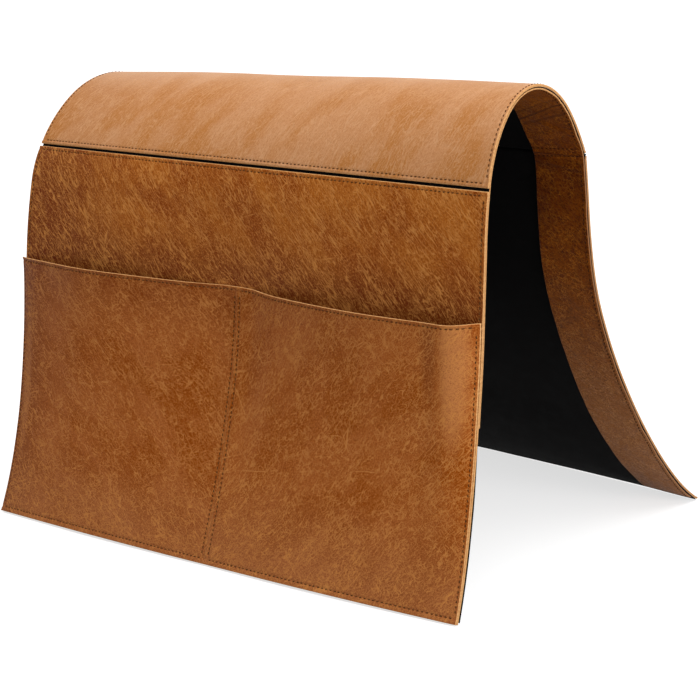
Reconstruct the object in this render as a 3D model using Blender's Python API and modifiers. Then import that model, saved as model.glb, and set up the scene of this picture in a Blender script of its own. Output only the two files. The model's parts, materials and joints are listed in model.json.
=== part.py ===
"""Sofa armrest organizer: a leather cover that arches over an armrest, with two pockets on its front flap.

The cover is a long strip of leather panels on a lining. Its section is a path of arcs that starts at the
ridge and runs down both flaps to the floor. Every sheet is a piece of that path: it lies between two
distances along the path, at its own depth under the outer face. The soft cover also sways: between its
straight folds, the section leans evenly from the left end to the right one.

Frame: +X runs along the cover's width, -Y is the pocket side and +Z is up. The origin is on the floor,
under the middle of the cover.
"""

import math
from collections import namedtuple

import bmesh
import bpy

MM = 0.001

# Cover
WIDTH = 450 * MM
RIDGE_HEIGHT = 369 * MM

# Plies, from the outer face inwards, and the gap that keeps touching plies apart
LEATHER = 1.5 * MM
LINING = 1.0 * MM
FACING = 1.4 * MM
PLY_GAP = 0.3 * MM

# Arch: two arcs on each side of the ridge, with the slope in degrees where each one ends
FRONT_CROWN = 45 * MM
FRONT_SHOULDER = 54 * MM
FRONT_ARCH_DEGREES = (41, 72)
BACK_CROWN = 38 * MM
BACK_SHOULDER = 43 * MM
BACK_ARCH_DEGREES = (36, 80)

# Folds: the outer leather stops there, and only the lining goes on. The back one rests a little bent. The
# gaps are those at the folds' axes, in the middle of the lining
FOLD_GAP = 3.0 * MM
BACK_FOLD_GAP = 4.0 * MM
BACK_FOLD_DEGREES = 2
LINING_FOLD_GAP = 0.9 * MM
FACING_FOLD_GAP = 4.0 * MM

# Flaps: the share of the flap's drop that each stretch takes, and the slope where the stretch ends
FRONT_DROP_SHARES = (0.10, 0.22, 0.25, 0.26, 0.17)
FRONT_FLAP_DEGREES = (86, 88, 81.5, 75.5, 70)
BACK_DROP_SHARES = (0.25, 0.15, 0.19, 0.17, 0.14, 0.10)
BACK_FLAP_DEGREES = (74.5, 60, 51, 45, 38, 28)

# Sway: how far the left end leans out at each hem and the right end leans forward and rises at the ridge
FRONT_HEM_SWAY = 16 * MM
BACK_HEM_SWAY = 18 * MM
RIDGE_SWAY = 10 * MM
RIDGE_RISE = 7 * MM
FRONT_SWAY_POWER = 1.4
BACK_SWAY_POWER = 1.3

# Hems: the leather's lowest corner is flat on the floor, and the inner plies stop short of it
HEM_FLAT = 0.5 * MM
LINING_SETBACK = 5.0 * MM
FACING_SETBACK = 9.0 * MM

# Facings: the strips inside along the side edges
FACING_WIDTH = 47 * MM
FRONT_FACING_DROP = 165 * MM

# Pockets
MOUTH_DROP = 93 * MM
POCKET_BULGE = 15 * MM
POCKET_SEAM_GAP = 0.6 * MM
SEWN_MARGIN = 6.0 * MM
POCKET_COLUMNS = 16

# Stitching
THREAD_RADIUS = 0.35 * MM
SIDE_ROW_INSET = 4.0 * MM
FOLD_ROW_INSET = 3.0 * MM
MOUTH_ROW_INSET = 3.5 * MM
HEM_ROW_INSET = 4.0 * MM
ROW_CROSSING_GAP = 0.5 * MM
THREAD_BEVEL_RESOLUTION = 1

# Facets
FACET_LENGTH = 15 * MM
FACET_DEGREES = 5
FACET_WIDTH = 90 * MM
LEAST_FACET = FACET_LENGTH / 8

POCKET_SIDES = {"left": -1, "right": 1}

LINING_DEPTH = LEATHER + PLY_GAP
FACING_DEPTH = LINING_DEPTH + LINING + PLY_GAP
FOLD_AXIS_DEPTH = LINING_DEPTH + LINING / 2
THREAD_LIFT = PLY_GAP + THREAD_RADIUS

Stretch = namedtuple("Stretch", "start length slope end_slope run drop")
Point = namedtuple("Point", "y z")


def arc_reach(length, slope, end_slope):
    """How far an arc of this length goes out and down while its slope turns."""
    turn = end_slope - slope
    if turn == 0:
        return length * math.cos(slope), length * math.sin(slope)
    radius = length / turn
    return (
        radius * (math.sin(end_slope) - math.sin(slope)),
        radius * (math.cos(slope) - math.cos(end_slope)),
    )


def arc_length(drop, slope, end_slope):
    """The length of the arc that drops this far while its slope turns."""
    return drop * (end_slope - slope) / (math.cos(slope) - math.cos(end_slope))


def chain(lengths_and_slopes):
    """Arcs end to end from the ridge, where the slope is zero. Slopes are in degrees."""
    stretches = []
    start = slope = run = drop = 0
    for length, degrees in lengths_and_slopes:
        end_slope = math.radians(degrees)
        stretches.append(Stretch(start, length, slope, end_slope, run, drop))
        out, down = arc_reach(length, slope, end_slope)
        start, slope, run, drop = start + length, end_slope, run + out, drop + down
    return stretches, drop


def side_path(crown, shoulder, arch_degrees, fold_gap, fold_degrees, drop_shares, flap_degrees):
    """One side of the section: crown, shoulder, fold, then a flap whose hem stands on the floor."""
    crown_end, shoulder_end = arch_degrees
    slope = shoulder_end + fold_degrees
    fold_length = fold_gap + FOLD_AXIS_DEPTH * math.radians(fold_degrees)
    arcs = [(crown, crown_end), (shoulder, shoulder_end), (fold_length, slope)]
    _, arch_drop = chain(arcs)
    lowest_corner = LEATHER * math.cos(math.radians(flap_degrees[-1]))
    flap_drop = RIDGE_HEIGHT - arch_drop - lowest_corner + HEM_FLAT
    for share, end_slope in zip(drop_shares, flap_degrees):
        drop = flap_drop * share / sum(drop_shares)
        arcs.append((arc_length(drop, math.radians(slope), math.radians(end_slope)), end_slope))
        slope = end_slope
    return chain(arcs)[0]


# Distances along the path count from the ridge: minus towards the front hem, plus towards the back hem
FRONT_PATH = side_path(
    FRONT_CROWN,
    FRONT_SHOULDER,
    FRONT_ARCH_DEGREES,
    FOLD_GAP,
    0,
    FRONT_DROP_SHARES,
    FRONT_FLAP_DEGREES,
)
BACK_PATH = side_path(
    BACK_CROWN,
    BACK_SHOULDER,
    BACK_ARCH_DEGREES,
    BACK_FOLD_GAP,
    BACK_FOLD_DEGREES,
    BACK_DROP_SHARES,
    BACK_FLAP_DEGREES,
)
_, _, FRONT_FOLD_ARC, *_ = FRONT_PATH
_, _, BACK_FOLD_ARC, *_ = BACK_PATH
FRONT_PANEL_TOP = -(FRONT_FOLD_ARC.start + FRONT_FOLD_ARC.length)
TOP_PANEL_FRONT = -FRONT_FOLD_ARC.start
FRONT_FOLD = (FRONT_PANEL_TOP + TOP_PANEL_FRONT) / 2
TOP_PANEL_BACK = BACK_FOLD_ARC.start
BACK_PANEL_TOP = BACK_FOLD_ARC.start + BACK_FOLD_ARC.length
BACK_FOLD = (TOP_PANEL_BACK + BACK_PANEL_TOP) / 2
FRONT_HEM = -(FRONT_PATH[-1].start + FRONT_PATH[-1].length)
BACK_HEM = BACK_PATH[-1].start + BACK_PATH[-1].length
POCKET_MOUTH = FRONT_PANEL_TOP - MOUTH_DROP
BACK_FOLD_SPREAD = BACK_FOLD_ARC.length / BACK_FOLD_GAP


def from_ridge(distance, depth):
    """The point at this distance along the path, this deep under the outer face, seen from the ridge."""
    side = -1 if distance < 0 else 1
    path = FRONT_PATH if distance < 0 else BACK_PATH
    along = abs(distance)
    stretch = max((s for s in path if s.start <= along), key=lambda s: s.start)
    part = along - stretch.start
    slope = stretch.slope + (stretch.end_slope - stretch.slope) * part / stretch.length
    out, down = arc_reach(part, stretch.slope, slope)
    run = stretch.run + out - depth * math.sin(slope)
    drop = stretch.drop + down + depth * math.cos(slope)
    return Point(side * run, -drop)


FRONT_REACH = from_ridge(FRONT_HEM, -PLY_GAP - LEATHER).y - FRONT_HEM_SWAY
BACK_REACH = from_ridge(BACK_HEM, 0).y + BACK_HEM_SWAY
RIDGE_Y = -(FRONT_REACH + BACK_REACH) / 2


def sway(x, distance):
    """How far the section is moved here. The folds stay straight, and the hems stay on the floor."""
    across = x / (WIDTH / 2)
    if distance < FRONT_FOLD:
        down = (distance - FRONT_FOLD) / (FRONT_HEM - FRONT_FOLD)
        return Point(FRONT_HEM_SWAY * across * down**FRONT_SWAY_POWER, 0)
    if distance > BACK_FOLD:
        down = (distance - BACK_FOLD) / (BACK_HEM - BACK_FOLD)
        return Point(-BACK_HEM_SWAY * across * down**BACK_SWAY_POWER, 0)
    over = math.sin(math.pi * (distance - FRONT_FOLD) / (BACK_FOLD - FRONT_FOLD)) ** 2
    return Point(-RIDGE_SWAY * across * over, RIDGE_RISE * across * over)


def at(x, distance, depth):
    """The point this far across the cover and along the path, this deep under the outer face."""
    point = from_ridge(distance, depth)
    moved = sway(x, distance)
    return Point(point.y + moved.y + RIDGE_Y, point.z + moved.z + RIDGE_HEIGHT)


def facet_ends():
    """Where the facets of all the sheets end, so that the sheets lie evenly on each other."""
    ends = {0}
    for side, path in ((-1, FRONT_PATH), (1, BACK_PATH)):
        for stretch in path:
            turn = math.degrees(abs(stretch.end_slope - stretch.slope))
            count = math.ceil(max(turn / FACET_DEGREES, stretch.length / FACET_LENGTH))
            ends |= {side * (stretch.start + stretch.length * (i + 1) / count) for i in range(count)}
    return sorted(ends)


def stations(first, last):
    """The distances at which a sheet from first to last is bent."""
    low, high = min(first, last), max(first, last)
    inner = [end for end in facet_ends() if low + LEAST_FACET < end < high - LEAST_FACET]
    return [low, *inner, high]


def places_across(left, right):
    """Where the sections of a sheet from left to right stand: its ends, the facings' edges and between."""
    inner = WIDTH / 2 - FACING_WIDTH
    count = math.ceil(2 * inner / FACET_WIDTH)
    steps = [-inner + 2 * inner * i / count for i in range(count + 1)]
    return [left, *(x for x in steps if left + LEAST_FACET < x < right - LEAST_FACET), right]


def above_floor(outline):
    """The outline cut off level at the floor."""
    kept = []
    for a, b in zip(outline, outline[1:] + outline[:1]):
        if a.z >= 0:
            kept.append(a)
        if (a.z < 0) != (b.z < 0):
            kept.append(Point(a.y + (b.y - a.y) * a.z / (a.z - b.z), 0))
    return kept


def material(name, colour, roughness):
    made = bpy.data.materials.new(name)
    made.use_nodes = True
    made.diffuse_color = (*colour, 1)
    shader = made.node_tree.nodes["Principled BSDF"]
    shader.inputs["Base Color"].default_value = (*colour, 1)
    shader.inputs["Roughness"].default_value = roughness
    shader.inputs["Metallic"].default_value = 0
    return made


def clear_scene():
    for obj in list(bpy.data.objects):
        bpy.data.objects.remove(obj, do_unlink=True)


def new_collection(name):
    collection = bpy.data.collections.new(name)
    bpy.context.scene.collection.children.link(collection)
    return collection


def hinge_empty(name, distance, collection):
    """An empty on a fold's axis. The pieces of the flap hang on it."""
    axis = at(0, distance, FOLD_AXIS_DEPTH)
    empty = bpy.data.objects.new(name, None)
    empty.location = (0, axis.y, axis.z)
    collection.objects.link(empty)
    return empty


def add(name, data, finish, body, collection):
    """A new object whose data is in the cover's frame, hung on its body's empty."""
    data.materials.append(finish)
    obj = bpy.data.objects.new(name, data)
    collection.objects.link(obj)
    if body:
        obj.parent = body
        obj.location = -body.location
    return obj


def sheet(name, first, last, depth, thickness, left, right, finish, body, collection):
    """A ply bent along the path from first to last: a loft through its sections from left to right."""
    bends = stations(first, last)
    loft = bmesh.new()
    rings = []
    for x in places_across(left, right):
        outer = [at(x, distance, depth) for distance in bends]
        inner = [at(x, distance, depth + thickness) for distance in reversed(bends)]
        rings.append([loft.verts.new((x, p.y, p.z)) for p in above_floor(outer + inner)])
    outside, inside = [], []
    for here, there in zip(rings, rings[1:]):
        for i, (a, b, c, d) in enumerate(zip(here, here[1:] + here[:1], there[1:] + there[:1], there)):
            faces = outside if i < len(here) / 2 else inside
            faces.append(loft.faces.new((a, b, c, d)))
    ends = [loft.faces.new(rings[0][::-1]), loft.faces.new(rings[-1])]
    # Both sides are split along the same diagonals, so that the ply is as thick in the middle of a facet.
    bmesh.ops.triangulate(loft, faces=outside, quad_method="FIXED")
    bmesh.ops.triangulate(loft, faces=inside, quad_method="ALTERNATE")
    bmesh.ops.triangulate(loft, faces=ends)
    bmesh.ops.recalc_face_normals(loft, faces=loft.faces)
    mesh = bpy.data.meshes.new(name)
    loft.to_mesh(mesh)
    loft.free()
    return add(name, mesh, finish, body, collection)


def bulge(x, distance, left, right):
    """How far a pocket stands off the front panel: nothing along its seams, most at its mouth's middle."""
    across = (2 * x - left - right) / (right - left - 2 * SEWN_MARGIN)
    seam = FRONT_HEM + SEWN_MARGIN + HEM_ROW_INSET
    down = (distance - POCKET_MOUTH) / (seam - POCKET_MOUTH)
    return POCKET_BULGE * max(0, 1 - across**2) * max(0, 1 - down**2)


def on_pocket(x, distance, lift, left, right):
    """A point over a pocket's inner face, in the cover's frame."""
    place = at(x, distance, -PLY_GAP - bulge(x, distance, left, right) - lift)
    return (x, place.y, place.z)


def pocket_columns(left, right):
    """Places across a pocket: its edges, the ends of its sewn margins, and even steps between these."""
    low, high = left + SEWN_MARGIN, right - SEWN_MARGIN
    steps = [low + (high - low) * i / POCKET_COLUMNS for i in range(POCKET_COLUMNS + 1)]
    return [left, *steps, right]


def pocket(name, left, right, finish, body, collection):
    """A pocket panel: a grid laid over the front panel, lifted by its bulge and thickened outwards."""
    columns = pocket_columns(left, right)
    rows = stations(FRONT_HEM, POCKET_MOUTH)
    mesh = bpy.data.meshes.new(name)
    grid = bmesh.new()
    bmesh.ops.create_grid(grid, x_segments=len(columns) - 1, y_segments=len(rows) - 1, size=1)
    for vertex in grid.verts:
        column = round((vertex.co.x + 1) / 2 * (len(columns) - 1))
        row = round((vertex.co.y + 1) / 2 * (len(rows) - 1))
        vertex.co = on_pocket(columns[column], rows[row], 0, left, right)
    grid.to_mesh(mesh)
    grid.free()
    obj = add(name, mesh, finish, body, collection)
    solidify = obj.modifiers.new("Leather thickness", "SOLIDIFY")
    solidify.thickness = LEATHER
    solidify.offset = 1
    solidify.use_even_offset = True
    mesh.shade_smooth()
    return obj


def thread(name, points, finish, body, collection):
    """A row of stitching as one thin cord that lies just over the leather."""
    curve = bpy.data.curves.new(name, "CURVE")
    curve.dimensions = "3D"
    curve.bevel_depth = THREAD_RADIUS
    curve.bevel_resolution = THREAD_BEVEL_RESOLUTION
    curve.use_fill_caps = True
    spline = curve.splines.new("POLY")
    spline.points.add(len(points) - 1)
    for point, place in zip(spline.points, points):
        point.co = (*place, 1)
    return add(name, curve, finish, body, collection)


def row_across(distance, inset):
    """Thread points across the whole width, short of the side rows."""
    reach = WIDTH / 2 - inset
    places = [(x, at(x, distance, -THREAD_LIFT)) for x in places_across(-reach, reach)]
    return [(x, place.y, place.z) for x, place in places]


def row_along(x, first, last):
    """Thread points down a side edge."""
    places = [at(x, distance, -THREAD_LIFT) for distance in stations(first, last)]
    return [(x, place.y, place.z) for place in places]


def build_panels(leather, front, back, collection):
    half = WIDTH / 2
    for name, first, last, body in (
        ("top_panel", TOP_PANEL_FRONT, TOP_PANEL_BACK, None),
        ("front_panel", FRONT_HEM, FRONT_PANEL_TOP, front),
        ("back_panel", BACK_PANEL_TOP, BACK_HEM, back),
    ):
        sheet(name, first, last, 0, LEATHER, -half, half, leather, body, collection)


def build_lining(cloth, front, back, collection):
    half = WIDTH / 2
    front_gap = LINING_FOLD_GAP / 2
    back_gap = front_gap * BACK_FOLD_SPREAD
    for name, first, last, body in (
        ("top_lining", FRONT_FOLD + front_gap, BACK_FOLD - back_gap, None),
        ("front_lining", FRONT_HEM + LINING_SETBACK, FRONT_FOLD - front_gap, front),
        ("back_lining", BACK_FOLD + back_gap, BACK_HEM - LINING_SETBACK, back),
    ):
        sheet(name, first, last, LINING_DEPTH, LINING, -half, half, cloth, body, collection)


def build_facings(leather, front, back, collection):
    front_gap = FACING_FOLD_GAP / 2
    back_gap = front_gap * BACK_FOLD_SPREAD
    for side, sign in POCKET_SIDES.items():
        outer, inner = sign * WIDTH / 2, sign * (WIDTH / 2 - FACING_WIDTH)
        left, right = min(outer, inner), max(outer, inner)
        for part, first, last, body in (
            ("top", FRONT_FOLD + front_gap, BACK_FOLD - back_gap, None),
            ("front", FRONT_FOLD - FRONT_FACING_DROP, FRONT_FOLD - front_gap, front),
            ("back", BACK_FOLD + back_gap, BACK_HEM - FACING_SETBACK, back),
        ):
            name = f"{part}_{side}_facing"
            sheet(name, first, last, FACING_DEPTH, FACING, left, right, leather, body, collection)


def pocket_span(sign):
    """The left and right edges of a pocket."""
    seam, edge = sign * POCKET_SEAM_GAP / 2, sign * WIDTH / 2
    return min(seam, edge), max(seam, edge)


def build_pockets(leather, front, collection):
    for side, sign in POCKET_SIDES.items():
        pocket(f"{side}_pocket", *pocket_span(sign), leather, front, collection)


def build_panel_stitching(cotton, front, back, collection):
    crossing = SIDE_ROW_INSET + 2 * THREAD_RADIUS + ROW_CROSSING_GAP
    for name, distance, body in (
        ("slit_upper_stitching", TOP_PANEL_FRONT + FOLD_ROW_INSET, None),
        ("slit_lower_stitching", FRONT_PANEL_TOP - FOLD_ROW_INSET, front),
        ("seam_upper_stitching", TOP_PANEL_BACK - FOLD_ROW_INSET, None),
        ("seam_lower_stitching", BACK_PANEL_TOP + FOLD_ROW_INSET, back),
        ("back_hem_stitching", BACK_HEM - HEM_ROW_INSET, back),
    ):
        thread(name, row_across(distance, crossing), cotton, body, collection)
    for side, sign in POCKET_SIDES.items():
        x = sign * (WIDTH / 2 - SIDE_ROW_INSET)
        for part, first, last, body in (
            ("top", TOP_PANEL_FRONT + FOLD_ROW_INSET, TOP_PANEL_BACK - FOLD_ROW_INSET, None),
            ("front", POCKET_MOUTH + FOLD_ROW_INSET, FRONT_PANEL_TOP - FOLD_ROW_INSET, front),
            ("back", BACK_PANEL_TOP + FOLD_ROW_INSET, BACK_HEM - HEM_ROW_INSET, back),
        ):
            thread(f"{part}_{side}_stitching", row_along(x, first, last), cotton, body, collection)


def build_pocket_stitching(cotton, front, collection):
    lift = LEATHER + THREAD_LIFT
    mouth_row = POCKET_MOUTH - MOUTH_ROW_INSET
    hem_row = FRONT_HEM + HEM_ROW_INSET
    corner = 2 * THREAD_RADIUS + ROW_CROSSING_GAP
    for side, sign in POCKET_SIDES.items():
        left, right = pocket_span(sign)
        outer_x = sign * (WIDTH / 2 - SIDE_ROW_INSET)
        inner_x = sign * (POCKET_SEAM_GAP / 2 + FOLD_ROW_INSET)
        for place, x in (("side", outer_x), ("middle", inner_x)):
            points = [on_pocket(x, d, lift, left, right) for d in stations(hem_row, mouth_row)]
            thread(f"{side}_pocket_{place}_stitching", points, cotton, front, collection)
        low = min(outer_x, inner_x) + corner
        high = max(outer_x, inner_x) - corner
        across = [low, *(x for x in pocket_columns(left, right) if low < x < high), high]
        for place, distance in (("mouth", mouth_row), ("hem", hem_row)):
            points = [on_pocket(x, distance, lift, left, right) for x in across]
            thread(f"{side}_pocket_{place}_stitching", points, cotton, front, collection)


def main():
    clear_scene()
    collection = new_collection("sofa_armrest_organizer")
    front = hinge_empty("front_flap", FRONT_FOLD, collection)
    back = hinge_empty("back_flap", BACK_FOLD, collection)
    cover_leather = material("cognac_leather", (0.36, 0.125, 0.028), 0.45)
    facing_leather = material("facing_leather", (0.22, 0.08, 0.022), 0.5)
    lining_cloth = material("black_lining", (0.012, 0.012, 0.014), 0.85)
    cotton = material("dark_thread", (0.06, 0.04, 0.025), 0.7)
    build_panels(cover_leather, front, back, collection)
    build_lining(lining_cloth, front, back, collection)
    build_facings(facing_leather, front, back, collection)
    build_pockets(cover_leather, front, collection)
    build_panel_stitching(cotton, front, back, collection)
    build_pocket_stitching(cotton, front, collection)


main()
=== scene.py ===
"""The looks of a sofa armrest organizer: leather panels, pockets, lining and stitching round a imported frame.

Every sheet is a piece of one surface. A point of it has a place across the cover (x), a distance along
the path that runs from the front hem over the ridge to the back hem (s, zero at the ridge and minus
towards the front), and a depth under the outer face. The section changes a little from the left end to
the right one, as soft leather does. Lengths are in metres, angles in degrees.
"""

import json
import math

import bpy
import numpy as np
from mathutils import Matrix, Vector


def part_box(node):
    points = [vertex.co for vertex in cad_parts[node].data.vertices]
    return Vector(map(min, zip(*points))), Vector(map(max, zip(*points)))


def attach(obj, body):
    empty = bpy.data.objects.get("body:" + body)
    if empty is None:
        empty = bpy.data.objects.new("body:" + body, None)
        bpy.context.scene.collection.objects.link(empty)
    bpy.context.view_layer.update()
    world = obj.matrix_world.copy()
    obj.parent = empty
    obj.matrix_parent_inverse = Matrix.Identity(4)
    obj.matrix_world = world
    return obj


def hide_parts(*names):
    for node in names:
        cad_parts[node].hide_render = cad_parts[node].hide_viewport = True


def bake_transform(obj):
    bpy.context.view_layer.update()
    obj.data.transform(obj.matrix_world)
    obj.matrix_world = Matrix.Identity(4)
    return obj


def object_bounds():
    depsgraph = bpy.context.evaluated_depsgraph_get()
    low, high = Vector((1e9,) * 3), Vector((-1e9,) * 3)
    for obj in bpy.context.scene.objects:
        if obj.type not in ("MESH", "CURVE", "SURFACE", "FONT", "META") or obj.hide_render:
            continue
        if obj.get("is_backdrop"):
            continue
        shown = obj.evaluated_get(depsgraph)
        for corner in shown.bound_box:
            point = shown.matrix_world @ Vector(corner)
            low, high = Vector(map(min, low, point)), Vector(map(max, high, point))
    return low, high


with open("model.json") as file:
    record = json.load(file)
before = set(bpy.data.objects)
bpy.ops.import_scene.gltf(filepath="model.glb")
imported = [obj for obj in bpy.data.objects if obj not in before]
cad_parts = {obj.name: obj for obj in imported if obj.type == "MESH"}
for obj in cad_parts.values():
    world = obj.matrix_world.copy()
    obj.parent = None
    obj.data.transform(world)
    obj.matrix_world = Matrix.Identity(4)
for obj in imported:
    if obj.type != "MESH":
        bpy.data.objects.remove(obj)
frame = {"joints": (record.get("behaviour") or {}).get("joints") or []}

cad_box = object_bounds()

MM = 0.001


def mm(*values):
    return np.array(values, float) * MM


# Plies from the outer face inwards, as thick as their cut edges show, and a pocket's leather
COVER = 2.0 * MM
LINING = 0.5 * MM
FACING = 1.3 * MM
LEATHER = 1.5 * MM
PLY_GAP = 0.08 * MM
LINING_DEPTH = COVER + PLY_GAP
FACING_DEPTH = LINING_DEPTH + LINING + PLY_GAP
STACK = LINING_DEPTH + LINING
FOLD_AXIS_DEPTH = 2.3 * MM

HALF_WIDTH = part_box("top_panel")[1].x

# The stretches of the path from the front hem to the back hem, as the leather was cut, and where the
# two folds and the ridge lie among them
FRONT_FLAP = mm(57, 80, 75, 68, 30)
FOLD_GAP = 3.0 * MM
ARCH_FRONT = mm(54, 45)
ARCH_BACK = mm(20, 30, 40)
BACK_FOLD_GAP = 4.0 * MM
BACK_FLAP = mm(34, 47, 50, 70, 70, 65, 54)
# What the cut edges leave open between them at the two folds
SLIT_GAP = 2.2 * MM
SEAM_GAP = 2.7 * MM

# Headings in degrees above level, walking from the front hem over the ridge to the back hem, at the
# start and at the end of each stretch: at the left end, in the middle and at the right end
FRONT_HEADINGS = (
    (67.5, 75.5, 83, 87, 78, 58),
    (70, 75, 81, 88.5, 86.5, 71),
    (74.5, 81.5, 85.5, 88.5, 88, 83),
)
ARCH_HEADINGS = (
    (58, 32, 3, -16, -57, -97),
    (71, 41, 1, -14, -52, -89),
    (83, 49, -2.4, -22, -47, -59.5),
)
BACK_HEADINGS = (-80, -82, -75.5, -62, -53, -47.5, -40, -30)
# The arch leans back at the left, where its rear stretches are drawn in to these shares of their length
ARCH_BACK_SHARES = (
    (1.1, 0.87, 0.65),
    (0.8, 1.0, 0.85),
    (1.0, 1.0, 1.0),
)
# How much wider the back flap's foot stands at each of the three places than at the right end
BACK_FLARE = (1.13, 1.085, 1.0)
FLAP_FOOT = 0.3 * MM

FACING_WIDTH = 47 * MM
FACING_INSET = 0.4 * MM
FRONT_FACING_DROP = 168 * MM
FACING_SETBACK = 12 * MM
# Half of what is left open where the front and the back half of a sheet meet, on the ridge
RIDGE_HALF_GAP = 0.05 * MM

MOUTH = -195.4 * MM

# Stitching
PITCH = 3.7 * MM
STITCH_LENGTH = 1.95 * MM
STITCH_LENGTH_SPREAD = 0.05
STITCH_SPREAD = 0.12 * MM
STITCH_SLANT = 0.10
STITCH_RINGS = 7
THREAD_RADIUS = 0.36 * MM
THREAD_SIDES = 8
# A stitch in shares of its thread's radius: half width and height, its middle's lift, its ends' dive
THREAD_WIDTH, THREAD_HEIGHT = 1.15, 0.9
THREAD_LIFT, THREAD_DIVE = 0.75, 1.5
THREAD_TAPER = 0.35
GROOVE_DEPTH = 0.28 * MM
GROOVE_HALF_WIDTH = 1.5 * MM
SIDE_INSET = 3.0 * MM
TOP_SIDE_INSET = 2.1 * MM
POCKET_SIDE_INSET = 2.0 * MM
FOLD_INSET = 3.2 * MM
SEAM_INSET = 2.4 * MM
MOUTH_INSET = 2.8 * MM
HEM_INSET = 4.2 * MM

# Rounding of a cut edge, and how far the leather stands out between it and its row of stitches
EDGE_RADIUS = 0.6 * MM
LIP = 0.42 * MM
# At the folds the edges are rounder and low, so that they clear each other when a flap is lifted
FOLD_RADIUS = 0.95 * MM
FOLD_RISE = 1.5 * MM
# The share of the radius from which a rounded edge shows the leather's cut
CUT_SHARE = 0.22

joints = {joint["name"]: joint for joint in frame["joints"]}
front_axis = np.array(joints["front_flap_hinge"]["pos_m"][1:])
back_axis = np.array(joints["back_flap_hinge"]["pos_m"][1:])


def smooth_step(value):
    value = np.clip(value, 0, 1)
    return value * value * (3 - 2 * value)


def outward(heading):
    """The outward normal in (y, z) of a face whose path heads this many degrees above level."""
    return np.array([-math.sin(math.radians(heading)), math.cos(math.radians(heading))])


FRONT_FOLD_HEADING = 76
BACK_FOLD_HEADING = -70
FRONT_FOLD = front_axis + outward(FRONT_FOLD_HEADING) * FOLD_AXIS_DEPTH
BACK_FOLD = back_axis + outward(BACK_FOLD_HEADING) * FOLD_AXIS_DEPTH

FRONT_FOLD_S = -(ARCH_FRONT.sum() + FOLD_GAP / 2)
BACK_FOLD_S = ARCH_BACK.sum() + BACK_FOLD_GAP / 2
SLIT_TOP = FRONT_FOLD_S + SLIT_GAP / 2
SLIT_BOTTOM = FRONT_FOLD_S - SLIT_GAP / 2
SEAM_TOP = BACK_FOLD_S - SEAM_GAP / 2
SEAM_BOTTOM = BACK_FOLD_S + SEAM_GAP / 2
FRONT_HEM = FRONT_FOLD_S - FOLD_GAP / 2 - FRONT_FLAP.sum()
BACK_HEM = BACK_FOLD_S + BACK_FOLD_GAP / 2 + BACK_FLAP.sum()

STEP = 0.5 * MM


def walk(lengths, shares, headings):
    """Points (y, z), headings and pattern distances along a chain of arcs, from its start."""
    ends = np.concatenate([[0], np.cumsum(lengths * shares)])
    pattern = np.concatenate([[0], np.cumsum(lengths)])
    along = np.linspace(0, ends[-1], max(3, round(ends[-1] / STEP)))
    heading = np.radians(np.interp(along, ends, headings))
    middle = (heading[1:] + heading[:-1]) / 2
    step = along[1]
    y = np.concatenate([[0], np.cumsum(np.cos(middle)) * step])
    z = np.concatenate([[0], np.cumsum(np.sin(middle)) * step])
    return y, z, heading, np.interp(along, ends, pattern)


def flap(fold, lengths, headings, flare=1.0):
    """A flap's way from its fold down to the ground: pattern distances, y, z and heading."""
    y, z, heading, pattern = walk(lengths, 1, headings)
    foot = STACK * abs(math.cos(heading[-1])) + FLAP_FOOT
    gap_z = foot - fold[1] - z[-1]
    return pattern, fold[0] + y * flare, fold[1] + z + gap_z * pattern / pattern[-1], heading


def section(place):
    """The outer face's section at one of the three places, as arrays of s, y, z and heading."""
    half_gap, back_half_gap = FOLD_GAP / 2, BACK_FOLD_GAP / 2
    rise = ARCH_HEADINGS[place]
    turn = (rise[-1] + BACK_HEADINGS[0]) / 2
    lengths = np.concatenate([[half_gap], ARCH_FRONT, ARCH_BACK, [back_half_gap]])
    shares = np.concatenate([[1, 1, 1], ARCH_BACK_SHARES[place], [1]])
    y, z, heading, pattern = walk(lengths, shares, [rise[0], *rise, turn])
    share = pattern / pattern[-1]
    gap_y, gap_z = BACK_FOLD - FRONT_FOLD - (y[-1], z[-1])
    arch = (
        FRONT_FOLD_S + pattern,
        FRONT_FOLD[0] + y + gap_y * share,
        FRONT_FOLD[1] + z + gap_z * share,
        heading,
    )

    down = [180 + heading for heading in FRONT_HEADINGS[place][::-1]]
    lengths = np.concatenate([[half_gap], FRONT_FLAP[::-1]])
    pattern, y, z, heading = flap(FRONT_FOLD, lengths, [down[0], *down])
    front = [values[:0:-1] for values in (FRONT_FOLD_S - pattern, y, z, heading - math.pi)]

    lengths = np.concatenate([[back_half_gap], BACK_FLAP])
    pattern, y, z, heading = flap(BACK_FOLD, lengths, [turn, *BACK_HEADINGS], BACK_FLARE[place])
    back = [values[1:] for values in (BACK_FOLD_S + pattern, y, z, heading)]
    return [np.concatenate(parts) for parts in zip(front, arch, back)]


SECTIONS = [section(place) for place in range(3)]


def at(across, s):
    """y, z and heading of the outer face, before its relief, at places x and distances s."""
    u = across / HALF_WIDTH
    weights = (u * (u - 1) / 2, 1 - u * u, u * (u + 1) / 2)
    total = [0, 0, 0]
    for weight, (along, *values) in zip(weights, SECTIONS):
        for k, value in enumerate(values):
            total[k] = total[k] + weight * np.interp(s, along, value)
    return total


def lattice_noise(seed, across, s, size):
    """Smooth noise of about -1 to 1 whose features are about this large."""
    table = np.random.default_rng(seed).uniform(-1, 1, (64, 64))
    u, v = across / size + 31, s / size + 31
    i, j = np.floor(u).astype(int), np.floor(v).astype(int)
    fu, fv = smooth_step(u - i), smooth_step(v - j)
    corner = lambda a, b: table[(i + a) % 64, (j + b) % 64]
    low = corner(0, 0) * (1 - fu) + corner(1, 0) * fu
    high = corner(0, 1) * (1 - fu) + corner(1, 1) * fu
    return low * (1 - fv) + high * fv


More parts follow.
